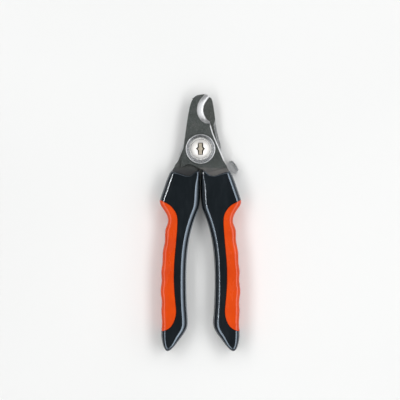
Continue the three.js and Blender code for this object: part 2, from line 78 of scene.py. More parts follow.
# soft inlay of the left handle; its left side lies outside the handle
INLAY = [
    (-30.7, -31.9), (-25.76, -32.03), (-24.37, -32.47), (-22.47, -33.8), (-20.64, -34.56),
    (-19.18, -35.45), (-17.85, -36.71), (-16.58, -38.23), (-15.51, -40.01), (-14.75, -41.97),
    (-14.43, -44.18), (-14.43, -47.35), (-14.75, -52.41), (-15.19, -57.48), (-15.82, -64.44),
    (-16.33, -69.19), (-16.71, -76.15), (-16.77, -84.06), (-16.33, -90.77), (-15.7, -97.48),
    (-15.26, -101.15), (-15.38, -104.32), (-15.95, -106.85), (-16.77, -109.07), (-17.91, -111.15),
    (-19.31, -112.67), (-20.83, -113.69), (-22.6, -114.32), (-24.69, -114.7), (-30.7, -114.95),
]
# stretches both blades share, as they lie on the front blade
TANG = [
    (-10.44, -10.82), (-8.86, -9.87), (-7.28, -9.5), (-6.01, -10), (-4.11, -10.82),
    (-2.22, -11.46), (-0.32, -12.47), (1.58, -13.29), (2.85, -14.12), (3.67, -15.7), (3.99, -19.5),
    (4.43, -28.99), (5.7, -39.75), (7.28, -51.15), (8.23, -57.48), (9.5, -60.32), (11.39, -61.27),
    (13.29, -60.01), (13.99, -56.21), (14.24, -47.98), (15.07, -38.49), (16.33, -28.99),
    (17.28, -21.4), (18.04, -16.33), (18.23, -14.31), (17.66, -13.04), (16.77, -11.9),
]
FLANK = [
    (16.14, -10), (15.19, -7.47), (13.93, -4.3), (12.34, -0.51), (11.08, 2.66), (9.5, 6.14),
    (8.23, 9.31), (7.28, 12.15), (6.58, 14.69), (6.2, 16.58), (6.01, 17.66),
]
HOLLOW = [
    (4.87, 18.1), (3.8, 19.18), (2.85, 20.83), (2.15, 22.72), (1.84, 24.81), (2.03, 26.52),
    (2.6, 28.23), (3.48, 29.81),
]
FRONT_BLADE = [
    (5.89, 33.36), (5.38, 33.68), (4.11, 34.31), (2.85, 34.75), (1.77, 34.63), (0.32, 34.37),
    (-0.76, 34.25), (-2.09, 34.06), (-3.35, 33.36), (-4.62, 32.09), (-5.44, 30.7), (-6.14, 29.12),
    (-6.65, 27.22), (-7.22, 24.69), (-7.72, 22.28), (-8.17, 19.75), (-8.61, 16.9), (-8.99, 14.05),
    (-9.37, 10.89), (-9.81, 7.72), (-10.19, 4.87), (-10.63, 1.9), (-11.08, -1.14),
    (-11.52, -3.99), (-11.9, -6.84), (-12.22, -10), (-12.15, -11.39), (-11.52, -11.52),
] + TANG + FLANK + HOLLOW + [(4.62, 31.4), (5.82, 32.79)]
REAR_FLANK_RIGHT = [
    (9.37, 18.48), (9.81, 15.32), (10.25, 12.47), (11.01, 8.99), (11.77, 6.14), (12.53, 3.61),
    (13.1, 0.76), (13.36, -2.41),
]
REAR_FLANK_LEFT = flipped(FLANK[:6])
REAR_BLADE = [
    (-5.25, 32.16), (-3.99, 32.92), (-1.84, 33.36), (2.22, 33.42), (4.75, 33.17), (6.33, 32.79),
    (7.09, 31.9), (7.6, 30.51), (8.04, 27.98), (8.55, 24.81), (8.99, 21.65),
] + REAR_FLANK_RIGHT + [
    (13.23, -5.89), (12.72, -8.74), (12.22, -10.76), (11.52, -11.39),
] + flipped(TANG + FLANK + HOLLOW) + [(-4.62, 31.27)]
# cutting edge, run past both ends, and the line where its bevel meets the blade face
EDGE = [(7.03, 34.06), (5.82, 32.79), (4.62, 31.4)] + HOLLOW[::-1] + [FLANK[-1], (7.6, 17.41)]
BEVEL_LIMIT = [
    (2.85, 35.19), (2.53, 34.31), (1.27, 33.04), (0, 31.46), (-1.2, 29.56), (-1.96, 27.66),
    (-2.28, 25.45), (-2.28, 23.86), (-1.96, 21.97), (-1.27, 20.26), (-0.25, 18.67), (0.95, 17.47),
    (2.34, 16.52), (3.8, 16.01), (5.38, 15.82), (7.28, 15.57),
]
# lowered field over the front blade's tang
TANG_FIELD = [
    (1.9, -12.91), (4.11, -12.72), (7.91, -12.41), (10.44, -11.65), (12.98, -10.76),
    (16.27, -9.75), (25, -9.75), (25, -63.81), (-3.48, -63.81), (-3.48, -13.8),
]
GUARD_FINGER = [
    (-4.75, 5.19), (-2.53, 13.42), (-1.33, 21.65), (-0.76, 26.4), (0.06, 28.48), (1.58, 29.62),
    (3.48, 29.88), (5.25, 29.37), (6.27, 27.85), (6.71, 24.81), (7.09, 19.75), (7.53, 14.69),
    (8.29, 9.62), (9.18, 4.56), (6.01, -0.51), (-1.58, -0.51),
]
GUARD_TAB_END = [                   # shared by the tab and the raised lip at its end
    (20.19, -7.34), (21.14, -8.17), (22.16, -9.37), (23.1, -10.82), (23.86, -12.34),
    (24.12, -13.36),
]
GUARD_TAB = [
    (3.48, -0.51), (7.91, -4.43), (11.71, -7.34), (14.24, -8.86), (16.14, -9.62), (17.03, -9.31),
    (17.6, -8.48), (18.23, -7.66), (19.18, -7.22),
] + GUARD_TAB_END + [
    (23.8, -14.37), (23.29, -15.32), (22.66, -15.82), (21.84, -15.57), (20.95, -14.62),
    (19.69, -13.8), (17.72, -13.29), (14.24, -12.41), (9.81, -10.38), (3.48, -7.47),
]
GUARD_LIP = [(19.31, -7.22)] + GUARD_TAB_END + [
    (23.17, -13.67), (22.91, -12.79), (22.22, -11.39), (21.33, -10.06), (20.45, -8.99),
    (19.69, -8.29), (19.24, -8.1),
]
GUARD_BAR = [(0.3, 25.2), (5.6, 25.2), (5.6, 26.6), (0.3, 26.6)]
# screws of the left handle, upper to lower; the first two pass through a tang
SCREWS = [(-10.44, -27.73), (-10.7, -52.41), (-17.09, -118.24)]


# ------------------------------------------------------------------ outline tools
def catmull(points):
    """16 points from the second towards the third of four, on a centripetal spline."""
    knots = [0.0]
    for start, end in zip(points[:-1], points[1:]):
        knots.append(knots[-1] + max(1e-6, np.linalg.norm(end - start)) ** 0.5)
    t = np.linspace(knots[1], knots[2], 16, endpoint=False)[:, None]

    def blend(i, j, start, end):
        span = knots[j] - knots[i]
        return (knots[j] - t) / span * start + (t - knots[i]) / span * end

    first, second, third = (blend(i, i + 1, points[i], points[i + 1]) for i in range(3))
    return blend(1, 2, blend(0, 2, first, second), blend(1, 3, second, third))


def sampled(line, known, wanted):
    """The line, given at the stations known, read off at the stations wanted."""
    return np.column_stack([np.interp(wanted, known, line[:, k]) for k in (0, 1)])


def run(points, spacing):
    """A smooth open line through points, evenly spaced, ends kept."""
    line = np.array(points, float)
    if len(line) > 4:
        line[1:-1] = 0.6 * line[1:-1] + 0.2 * line[:-2] + 0.2 * line[2:]
    padded = np.vstack([2 * line[0] - line[1], line, 2 * line[-1] - line[-2]])
    pieces = [catmull(padded[i - 1:i + 3]) for i in range(1, len(padded) - 2)]
    curve = np.vstack(pieces + [line[-1:]])
    travel = np.concatenate([[0], np.cumsum(np.linalg.norm(np.diff(curve, axis=0), axis=1))])
    count = max(2, int(round(travel[-1] / spacing)) + 1)
    return sampled(curve, travel, np.linspace(0, travel[-1], count))


def smooth(points, spacing, corner):
    """A closed outline, counter-clockwise, smooth between turns sharper than corner degrees."""
    outline = np.array(points, float)
    x, y = outline.T
    if np.sum(x * np.roll(y, -1) - np.roll(x, -1) * y) < 0:
        outline = outline[::-1]
    before = outline - np.roll(outline, 1, 0)
    after = np.roll(outline, -1, 0) - outline
    turn = np.arctan2(after[:, 1], after[:, 0]) - np.arctan2(before[:, 1], before[:, 0])
    turn = np.degrees(np.abs((turn + np.pi) % (2 * np.pi) - np.pi))
    corners = np.flatnonzero(turn > corner)
    outline = np.roll(outline, -corners[0], 0)
    stops = [i - corners[0] for i in corners] + [len(outline)]
    outline = np.vstack([outline, outline[:1]])
    return np.vstack([run(outline[a:b + 1], spacing)[:-1] for a, b in zip(stops[:-1], stops[1:])])


def drawn_in(outline, distance):
    """A counter-clockwise outline drawn in by distance (one number, or one a point)."""
    step_limit, relax = 0.06, 0.12
    points = outline.copy()
    distance = np.broadcast_to(np.asarray(distance, float), (len(points),))
    largest = float(np.max(np.abs(distance)))
    if largest < 1e-6:
        return points
    steps = max(1, int(math.ceil(largest / step_limit)))
    for _ in range(steps):
        before = points - np.roll(points, 1, 0)
        after = np.roll(points, -1, 0) - points
        before /= np.maximum(np.linalg.norm(before, axis=1), 1e-9)[:, None]
        after /= np.maximum(np.linalg.norm(after, axis=1), 1e-9)[:, None]
        along = before + after
        length = np.maximum(np.linalg.norm(along, axis=1), 0.4)
        inward = np.column_stack([-along[:, 1], along[:, 0]]) / length[:, None]
        mitre = np.clip(2.0 / length, 1.0, 1.5)
        points = points + inward * (mitre * distance / steps)[:, None]
        neighbours = np.roll(points, 1, 0) + np.roll(points, -1, 0)
        points = points * (1 - relax) + relax / 2 * neighbours
        # where the outline would fold over itself, ease it out locally
        moved = np.roll(points, -1, 0) - points
        size = np.linalg.norm(moved, axis=1)
        folded = (np.sum(moved * after, axis=1) < 0.35 * size) | (size < 0.06)
        if folded.any():
            for _ in range(3):
                folded = folded | np.roll(folded, 1) | np.roll(folded, -1)
            for _ in range(4):
                eased = 0.5 * points + 0.25 * (np.roll(points, 1, 0) + np.roll(points, -1, 0))
                points = np.where(folded[:, None], eased, points)
    return points


def mirrored(outline):
    """Outline on the other side of the y axis, its sense of turning kept."""
    return (outline * (-1, 1))[::-1]


# ------------------------------------------------------------------ mesh tools
def outward_normals(part):
    bm = bmesh.new()
    bm.from_mesh(part.data)
    bmesh.ops.recalc_face_normals(bm, faces=bm.faces)
    bm.to_mesh(part.data)
    bm.free()


def mesh_object(verts, faces, name="cutter"):
    """Object from points in millimetres."""
    mesh = bpy.data.meshes.new(name)
    mesh.from_pydata([tuple(float(c) * MM for c in v) for v in verts], [], faces)
    mesh.validate()
    mesh.update()
    part = bpy.data.objects.new(name, mesh)
    bpy.context.scene.collection.objects.link(part)
    return part


def side_quads(rings, n):
    """Faces between successive rings of n points."""
    quads = []
    for a in range(0, (rings - 1) * n, n):
        for i in range(n):
            j = (i + 1) % n
            quads.append((a + i, a + j, a + n + j, a + n + i))
    return quads


def lofted(rings, heights, name="cutter"):
    """Closed solid through outlines with the same number of points."""
    n, count = len(rings[0]), len(rings)
    verts = []
    for ring, z in zip(rings, heights):
        verts += zip(ring[:, 0], ring[:, 1], np.broadcast_to(np.asarray(z, float), (n,)))
    caps = tuple(reversed(range(n))), tuple(range((count - 1) * n, count * n))
    return mesh_object(verts, [caps[0]] + side_quads(count, n) + [caps[1]], name)


def turned(profile, n=96, x=0.0, y=0.0, warp=None, name="cutter"):
    """Solid of revolution about a vertical axis, from (radius, z) pairs.
    The profile starts and ends on the axis, or closes on itself."""
    closed = profile[0][0] > 1e-9
    verts, faces, rings = [], [], []
    for r, z in (profile[:-1] if closed else profile):
        first = len(verts)
        if r < 1e-9:
            verts.append((x, y, z))
        else:
            for i in range(n):
                angle = 2 * math.pi * i / n
                radius, height = warp(r, z, angle) if warp else (r, z)
                verts.append((x + radius * math.cos(angle), y + radius * math.sin(angle), height))
        rings.append(range(first, len(verts)))
    pairs = list(zip(rings[:-1], rings[1:])) + ([(rings[-1], rings[0])] if closed else [])
    for a, b in pairs:
        for i in range(n):
            j = (i + 1) % n
            if len(a) == 1:
                faces.append((a[0], b[j], b[i]))
            elif len(b) == 1:
                faces.append((a[i], a[j], b[0]))
            else:
                faces.append((a[i], a[j], b[j], b[i]))
    part = mesh_object(verts, faces, name)
    outward_normals(part)
    return part


def disc(radius, z0, z1, n=72, x=0.0, y=0.0):
    return turned([[0, z0], [radius, z0], [radius, z1], [0, z1]], n, x, y)


def sector(r0, r1, start, end, z0, z1):
    """Part of a ring, between two angles in degrees."""
    n = 24

    def arc(radius, steps):
        angles = [math.radians(start + (end - start) * i / n) for i in steps]
        return [(radius * math.cos(a), radius * math.sin(a)) for a in angles]

    outline = np.array(arc(r1, range(n + 1)) + arc(r0, range(n, -1, -1)))
    return lofted([outline] * 2, [z0, z1])


def prism(outline, z0, z1, lower_edge=0.0, upper_edge=0.0, name="cutter"):
    """Plate with small rounded edges, given by radius, on its lower and upper faces."""
    def rounding(radius):
        if radius <= 0:
            return [(0.0, 0.0)]
        angles = [k / 4 * math.pi / 2 for k in range(5)]
        return [(radius * (1 - math.sin(a)), radius * (1 - math.cos(a))) for a in angles]

    levels = [(inset, z0 + rise) for inset, rise in rounding(lower_edge)]
    levels += [(inset, z1 - drop) for inset, drop in rounding(upper_edge)[::-1]]
    return lofted([drawn_in(outline, inset) for inset, _ in levels], [z for _, z in levels], name)


def combine(part, operation, *others):
    """Boolean of part with each of the others in turn; the others are removed."""
    def result():
        return bpy.data.meshes.new_from_object(
            part.evaluated_get(bpy.context.evaluated_depsgraph_get()))

    for other in others:
        boolean = part.modifiers.new("boolean", "BOOLEAN")
        boolean.operation = operation
        boolean.solver = "MANIFOLD"
        boolean.object = other
        mesh = result()
        # the manifold solver gives nothing where an input isn't watertight
        if len(mesh.polygons) == 0:
            boolean.solver = "EXACT"
            mesh = result()
        part.modifiers.remove(boolean)
        old = part.data
        part.data = mesh
        bpy.data.meshes.remove(old)
        bpy.data.objects.remove(other, do_unlink=True)
    part.data.name = part.name


def cut(part, *cutters):
    combine(part, "DIFFERENCE", *cutters)


def finish_mesh(part, crease):
    """Weld, then smooth shading across edges flatter than crease degrees."""
    weld, large_area = 1e-5, 2e-5   # m, m2
    bm = bmesh.new()
    bm.from_mesh(part.data)
    bmesh.ops.remove_doubles(bm, verts=bm.verts, dist=weld)
    bmesh.ops.dissolve_degenerate(bm, dist=weld / 2, edges=bm.edges)
    bmesh.ops.delete(bm, geom=[e for e in bm.edges if not e.link_faces], context="EDGES")
    bmesh.ops.delete(bm, geom=[v for v in bm.verts if not v.link_faces], context="VERTS")
    limit = math.radians(crease)
    for face in bm.faces:
        # large faces keep flat shading up to their border
        face.smooth = face.calc_area() <= large_area
    for edge in bm.edges:
        edge.smooth = not (len(edge.link_faces) == 2 and edge.calc_face_angle(0.0) > limit)
    bm.to_mesh(part.data)
    bm.free()


def flat_caps(part):
    """Shade level faces flat, so that a rounded edge stays clean beside them."""
    for face in part.data.polygons:
        if abs(face.normal.z) > 0.9995:
            face.use_smooth = False


def dress(part, body, slot, node, material, *more_materials):
    """Give a piece its materials and the body it rides on, and hide the node it replaces. slot: not
    used.
    """
    part.data.materials.clear()
    part.data.materials.append(material)
    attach(part, body)
    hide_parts(node)
    for extra in more_materials:
        part.data.materials.append(extra)


def faces_mm(part):
    """Each face with its centre in millimetres."""
    return [(face, face.center / MM) for face in part.data.polygons]


# ------------------------------------------------------------------ shader tools
def new_material(name):
    """A material with its tree, shader and object coordinates."""
    mat = bpy.data.materials.new(name)
    mat.use_nodes = True
    tree = mat.node_tree
    tree.nodes.clear()
    out = tree.nodes.new("ShaderNodeOutputMaterial")
    bsdf = tree.nodes.new("ShaderNodeBsdfPrincipled")
    tree.links.new(bsdf.outputs["BSDF"], out.inputs["Surface"])
    return mat, tree, bsdf, tree.nodes.new("ShaderNodeTexCoord").outputs["Object"]


def noise(tree, coords, scale, detail=3.0, rough=0.55, stretch=None):
    if stretch is not None:
        mapping = tree.nodes.new("ShaderNodeMapping")
        mapping.inputs["Scale"].default_value = stretch
        tree.links.new(coords, mapping.inputs["Vector"])
        coords = mapping.outputs["Vector"]
    node = tree.nodes.new("ShaderNodeTexNoise")
    node.inputs["Scale"].default_value = scale
    node.inputs["Detail"].default_value = detail
    node.inputs["Roughness"].default_value = rough
    tree.links.new(coords, node.inputs["Vector"])
    return node.outputs["Fac"]


def ramp(tree, value, stops):
    """Colour ramp through (position, rgb) stops."""
    node = tree.nodes.new("ShaderNodeValToRGB")
    elements = node.color_ramp.elements
    while len(elements) < len(stops):
        elements.new(0.5)
    for element, (position, colour) in zip(elements, stops):
        element.position = position
        element.color = colour + (1.0,)
    tree.links.new(value, node.inputs["Fac"])
    return node.outputs["Color"]


def remap(tree, value, source, target):
    """Map the range source onto the range target, clamped."""
    node = tree.nodes.new("ShaderNodeMapRange")
    for side, pair in (("From", source), ("To", target)):
        node.inputs[side + " Min"].default_value = pair[0]
        node.inputs[side + " Max"].default_value = pair[1]
    tree.links.new(value, node.inputs["Value"])
    return node.outputs["Result"]


def overlay(tree, amount, under, colour):
    """One colour laid over another by amount."""
    node = tree.nodes.new("ShaderNodeMix")
    node.data_type = "RGBA"
    tree.links.new(amount, node.inputs[0])
    tree.links.new(under, node.inputs[6])
    node.inputs[7].default_value = colour + (1.0,)
    return node.outputs[2]


def bump(tree, height, strength, distance, under=None):
    node = tree.nodes.new("ShaderNodeBump")
    node.inputs["Strength"].default_value = strength
    node.inputs["Distance"].default_value = distance
    tree.links.new(height, node.inputs["Height"])
    if under is not None:
        tree.links.new(under, node.inputs["Normal"])
    return node.outputs["Normal"]


# ------------------------------------------------------------------ materials
def gloss_plastic(name, dark, light, rough, grain, ior, tint=(1.0, 1.0, 1.0)):
    mat, tree, bsdf, coords = new_material(name)
    cloud = noise(tree, coords, scale=60.0)
    colour = ramp(tree, cloud, [(0.35, dark), (0.65, light)])
    rub = noise(tree, coords, scale=220.0, detail=4.0, rough=0.65, stretch=(1.0, 0.25, 1.0))
    waves = bump(tree, noise(tree, coords, scale=90.0, detail=2.0), strength=0.25,
                 distance=0.00012)
    fine = bump(tree, noise(tree, coords, scale=2600.0, detail=2.0), strength=grain,
                distance=0.00002, under=waves)
    tree.links.new(colour, bsdf.inputs["Base Color"])
    tree.links.new(remap(tree, rub, (0.3, 0.7), rough), bsdf.inputs["Roughness"])
    tree.links.new(fine, bsdf.inputs["Normal"])
    bsdf.inputs["IOR"].default_value = ior
    bsdf.inputs["Specular Tint"].default_value = tint + (1.0,)
    return mat


def blade_steel(name, dark, middle, light, tang):
    """Speckled grey steel, with another grey below the edge of the tang's step."""
    mat, tree, bsdf, coords = new_material(name)
    cloud = noise(tree, coords, scale=110.0, detail=4.0, rough=0.62)
    colour = ramp(tree, cloud, [(0.32, dark), (0.55, middle), (0.75, light)])
    # dark pits, then coarse and fine pale specks
    grain = noise(tree, coords, scale=3600.0, detail=4.0, rough=0.75)
    pits = remap(tree, grain, (0.34, 0.46), (1.0, 0.0))
    colour = overlay(tree, pits, colour, (0.030, 0.034, 0.033))
    coarse = noise(tree, coords, scale=1300.0, detail=2.0, rough=0.7)
    coarse = remap(tree, coarse, (0.52, 0.70), (0.0, 0.45))
    colour = overlay(tree, coarse, colour, (0.17, 0.18, 0.175))
    specks = noise(tree, coords, scale=3000.0, detail=2.0, rough=0.7)
    specks = remap(tree, specks, (0.58, 0.68), (0.0, 0.9))
    colour = overlay(tree, specks, colour, (0.26, 0.27, 0.26))
    # the border follows y, made uneven by noise
    separate = tree.nodes.new("ShaderNodeSeparateXYZ")
    tree.links.new(coords, separate.inputs[0])
    uneven = tree.nodes.new("ShaderNodeMath")
    uneven.operation = "MULTIPLY_ADD"
    tree.links.new(noise(tree, coords, scale=260.0, detail=2.0), uneven.inputs[0])
    uneven.inputs[1].default_value = -0.0012
    tree.links.new(separate.outputs["Y"], uneven.inputs[2])
    low = remap(tree, uneven.outputs[0], (-0.0142, -0.0120), (1.0, 0.0))
    colour = overlay(tree, low, colour, tang)
    fine = bump(tree, grain, strength=0.45, distance=0.00003)
    waves = bump(tree, noise(tree, coords, scale=420.0), strength=0.12, distance=0.00005,
                 under=fine)
    tree.links.new(colour, bsdf.inputs["Base Color"])
    bsdf.inputs["Metallic"].default_value = 1.0
    tree.links.new(remap(tree, grain, (0.3, 0.75), (0.36, 0.54)), bsdf.inputs["Roughness"])
    tree.links.new(waves, bsdf.inputs["Normal"])
    return mat


def ground_steel():
    """Bright steel with fine grinding lines along y."""
    mat, tree, bsdf, coords = new_material("ground_steel")
    lines = noise(tree, coords, scale=900.0, detail=4.0, rough=0.6, stretch=(1.0, 0.06, 1.0))
    colour = ramp(tree, lines, [(0.3, (0.60, 0.61, 0.625)), (0.7, (0.74, 0.75, 0.765))])
    tree.links.new(colour, bsdf.inputs["Base Color"])
    bsdf.inputs["Metallic"].default_value = 1.0
    tree.links.new(remap(tree, lines, (0.3, 0.7), (0.28, 0.40)), bsdf.inputs["Roughness"])
    tree.links.new(bump(tree, lines, strength=0.25, distance=0.00002), bsdf.inputs["Normal"])
    return mat


def polished(name, dark, light, rough, scratch, metal=1.0):
    mat, tree, bsdf, coords = new_material(name)
    colour = ramp(tree, noise(tree, coords, scale=300.0), [(0.3, dark), (0.7, light)])
    tree.links.new(colour, bsdf.inputs["Base Color"])
    bsdf.inputs["Metallic"].default_value = metal
    fine = noise(tree, coords, scale=1400.0, detail=4.0, rough=0.65, stretch=(1.0, 0.35, 1.0))
    tree.links.new(remap(tree, fine, (0.3, 0.7), rough), bsdf.inputs["Roughness"])
    tree.links.new(bump(tree, fine, strength=scratch, distance=0.00002), bsdf.inputs["Normal"])
    return mat


# painted light: the blue specular tint colours the black plastic's reflections bluish
BLACK = gloss_plastic("black_plastic", dark=(0.0050, 0.0078, 0.0098),
                      light=(0.0080, 0.0115, 0.0140), rough=(0.09, 0.18), grain=0.25, ior=1.74,
                      tint=(0.70, 0.84, 1.0))
ORANGE = gloss_plastic("orange_inlay", dark=(0.62, 0.050, 0.0006), light=(0.72, 0.066, 0.0010),
                       rough=(0.20, 0.32), grain=0.35, ior=1.45)
FRONT_STEEL = blade_steel("blade_steel", dark=(0.060, 0.068, 0.066), middle=(0.080, 0.090, 0.087),
                          light=(0.105, 0.110, 0.106), tang=(0.19, 0.185, 0.18))
# the rear blade's copy of the blade steel: its tang is painted darker as shade, as it lies lower
REAR_STEEL_SHADED = blade_steel("blade_steel_rear_shaded", dark=(0.060, 0.066, 0.064),
                         middle=(0.080, 0.086, 0.082), light=(0.105, 0.108, 0.102),
                         tang=(0.075, 0.077, 0.080))
# darker copy of the plated steel, painted shade: the washer inside its rim, the knurl's grooves, the
# groove round the dome and the rear blade's right flank
PAINTED_SHADE_STEEL = polished("painted_shade_steel", dark=(0.34, 0.35, 0.36), light=(0.44, 0.45, 0.46),
                rough=(0.20, 0.32), scratch=0.2)
GROUND = ground_steel()
NICKEL = polished("polished_nickel", dark=(0.70, 0.685, 0.66), light=(0.79, 0.775, 0.75),
                  rough=(0.36, 0.46), scratch=0.10, metal=0.45)
# lighter, more metallic copy of the nickel: a painted highlight on the head's knurled rim
RIM_HIGHLIGHT_NICKEL = polished("rim_nickel_highlight", dark=(0.78, 0.775, 0.76), light=(0.86, 0.855, 0.84),
               rough=(0.26, 0.36), scratch=0.1, metal=0.72)
# painted shade in the driver recess: a darker tan floor and near-black walls
RECESS_FLOOR_SHADE = polished("recess_floor_shade", dark=(0.27, 0.24, 0.185), light=(0.40, 0.36, 0.29),
                  rough=(0.3, 0.45), scratch=0.4, metal=0.7)
RECESS_WALL_SHADE = polished("recess_wall_shade", dark=(0.030, 0.026, 0.020), light=(0.060, 0.052, 0.042),
                       rough=(0.35, 0.5), scratch=0.3)
PLATED = polished("plated_steel", dark=(0.50, 0.51, 0.53), light=(0.62, 0.63, 0.64),
                  rough=(0.24, 0.38), scratch=0.2)
ZINC = polished("screw_zinc", dark=(0.46, 0.47, 0.48), light=(0.58, 0.59, 0.60),
                rough=(0.22, 0.36), scratch=0.2)
GUARD_STEEL = polished("guard_steel", dark=(0.66, 0.67, 0.68), light=(0.78, 0.79, 0.80),
                       rough=(0.28, 0.40), scratch=0.2)
# the spring's wire, also laid on the guard's lip as painted shade
SPRING_WIRE_AND_LIP_SHADE = polished("spring_wire", dark=(0.22, 0.23, 0.24), light=(0.32, 0.33, 0.34),
                rough=(0.3, 0.42), scratch=0.15)

# ------------------------------------------------------------------ handles
BASE = smooth(HANDLE, 0.55, corner=46.0)
# masks over the points of BASE
INNER = BASE[:, 0] > np.interp(BASE[:, 1], [-130, -112, -90, -40, -10],
                               [-18.5, -14.5, -15.0, -9.0, -6.0])
OUTER_TOP = ~INNER & (BASE[:, 1] > -33.5)


def blurred(values, reach, sigma):
    """Values round the outline, blurred with a bell curve."""
    shifts = np.arange(-reach, reach + 1)
    weights = np.exp(-0.5 * (shifts / sigma) ** 2)
    weights /= weights.sum()
    return sum(np.roll(values, s) * weight for s, weight in zip(shifts, weights))


def edge_widths():
    """How far the flat of the face sits in from each point of the outline."""
    x, y = BASE.T
    widths = np.full(len(BASE), 2.7)
    widths[INNER] = 3.9
    widths[OUTER_TOP] = 3.4
    widths[~INNER & (y < -116)] = 3.0
    top = (y > -17.0) & (x > -18.0) & (x < -0.9)
    widths[top] = 1.15
    horn = INNER & (y > -24) & ~top
    widths[horn] = np.interp(y[horn], [-24, -15.5], [3.9, 1.5])
    widths[(y > -16.5) & (x > -4.2)] = 0.8
    widths[y < -121.5] = 2.3
    return blurred(widths, 14, 5.0)


def along(inner, outer_top, rest):
    """A profile value for every point of the outline."""
    values = np.full(len(BASE), float(rest))
    values[INNER] = inner
    values[OUTER_TOP] = outer_top
    return blurred(values, 9, 3.5)


WIDTH = edge_widths()
FACET = along(inner=0.50, outer_top=0.50, rest=0.44)   # part of the width in the shallow facet
TURN = along(inner=0.40, outer_top=0.60, rest=0.50)    # slope where the shoulder starts
DROP = along(inner=2.6, outer_top=1.8, rest=2.2)       # height of the shoulder below that
TILT = 0.29                         # slope of the shallow facet at its outer side
CROWN = 0.7                         # part of the facet that curves into the flat
SHOULDER_STEPS = (1.0, 0.9, 0.8, 0.7, 0.6, 0.5, 0.41, 0.33, 0.26, 0.2, 0.14, 0.09, 0.04, 0.0)
FACET_STEPS = (0.15, 0.3, 0.42, 0.54, 0.65, 0.74, 0.82, 0.89, 0.95, 1.0)
HALF_GAP = 0.03                     # from the parting plane to each moulding
INLAY_GAP = 0.05                    # inlay outline to each side of the joint
INLAY_FLARE = 0.14                  # widening of the joint at the faces
FLARE_DEPTH = 0.22


def half_rings(parting, face, lip=0.0, rim=(0.18, 0.18)):
    """Rings from the parting plane to the flat face of the left handle: rim, straight side,
    rounded shoulder, shallow facet, flat. lip: how far the side sits in from the outline;
    rim: inset and height of the small chamfer at the parting plane."""
    up = 1 if face > parting else -1
    base = drawn_in(BASE, lip)
    width = WIDTH - lip
    rings = [drawn_in(base, rim[0]), base]
    heights = [np.full(len(base), parting), np.full(len(base), parting + up * rim[1])]
    # control heights of the shoulder curve
    z_facet = face - up * TILT * FACET * width * (1 - CROWN / 2)
    z_middle = z_facet - up * TURN * (1 - FACET) * width
    z_side = z_middle - up * DROP
    stops = []
    for t in SHOULDER_STEPS:
        z = (1 - t) ** 2 * z_facet + 2 * t * (1 - t) * z_middle + t * t * z_side
        stops.append(((1 - FACET) * (1 - t) ** 2, z))
    crown = CROWN * FACET * width
    for t in FACET_STEPS:
        rest = (1 - t) * FACET * width
        fall = np.where(rest < crown, rest ** 2 / (2 * crown), rest - crown / 2)
        stops.append(((1 - FACET) + FACET * t, face - up * TILT * fall))
    ring, done = base, np.zeros(len(base))
    for part_in, z in stops:
        if np.max(part_in - done) > 1e-9:
            ring = drawn_in(ring, width * (part_in - done))
            done = part_in
        rings.append(ring)
        heights.append(z)
    return rings, heights


def handle_solid(name, side, rings, heights):
    if side > 0:
        rings = [mirrored(ring) for ring in rings]
        heights = [z[::-1] for z in heights]
    return lofted(rings, heights, name)


def inlay_cutter(side, sign):
    """Column over the inlay: sign +1 cuts the mouldings, -1 bounds the inlay itself."""
    outline = smooth(INLAY, 0.5, corner=60.0)
    if side > 0:
        outline = mirrored(outline)
    wall = drawn_in(outline, -sign * INLAY_GAP)
    mouth = drawn_in(wall, -sign * INLAY_FLARE)
    return lofted([mouth, mouth, wall, wall, mouth, mouth],
                  [-2.0, 0.0, FLARE_DEPTH, THICK - FLARE_DEPTH, THICK, THICK + 2.0])


def finish_handle(part, word, slot, node, material):
    finish_mesh(part, 34.0)
    flat_caps(part)
    dress(part, f"{word}_lever", slot, f"{word}_{node}", material)


def front_moulding(side, word):
    rings, heights = half_rings(PARTING + HALF_GAP, THICK, lip=0.28)
    part = handle_solid(f"{word}_front_moulding", side, rings, heights)
    cut(part, inlay_cutter(side, 1))
    finish_handle(part, word, "black_plastic", "front_shell", BLACK)


def rear_moulding(side, word):
    rings, heights = half_rings(PARTING - HALF_GAP, 0.0, rim=(0.75, 0.27))
    part = handle_solid(f"{word}_rear_moulding", side, rings[::-1], heights[::-1])
    cut(part, inlay_cutter(side, 1))
    hole = [[0, -1], [3.35, -1], [3.05, 0.22], [3.05, 2.6], [1.62, 2.6], [1.62, 5], [0, 5]]
    cut(part, *[turned(hole, 64, -side * x, y) for x, y in SCREWS])
    finish_handle(part, word, "black_plastic", "rear_shell", BLACK)


def soft_inlay(side, word):
    """One piece from front to back, without the mouldings' chamfered rims."""
    front_rings, front_heights = half_rings(PARTING, THICK)
    rear_rings, rear_heights = half_rings(PARTING, 0.0)
    rings = rear_rings[:1:-1] + [BASE] + front_rings[2:]
    heights = rear_heights[:1:-1] + [np.full(len(BASE), PARTING)] + front_heights[2:]
    part = handle_solid(f"{word}_soft_inlay", side, rings, heights)
    combine(part, "INTERSECT", inlay_cutter(side, -1))
    finish_handle(part, word, "orange_inlay", "grip", ORANGE)


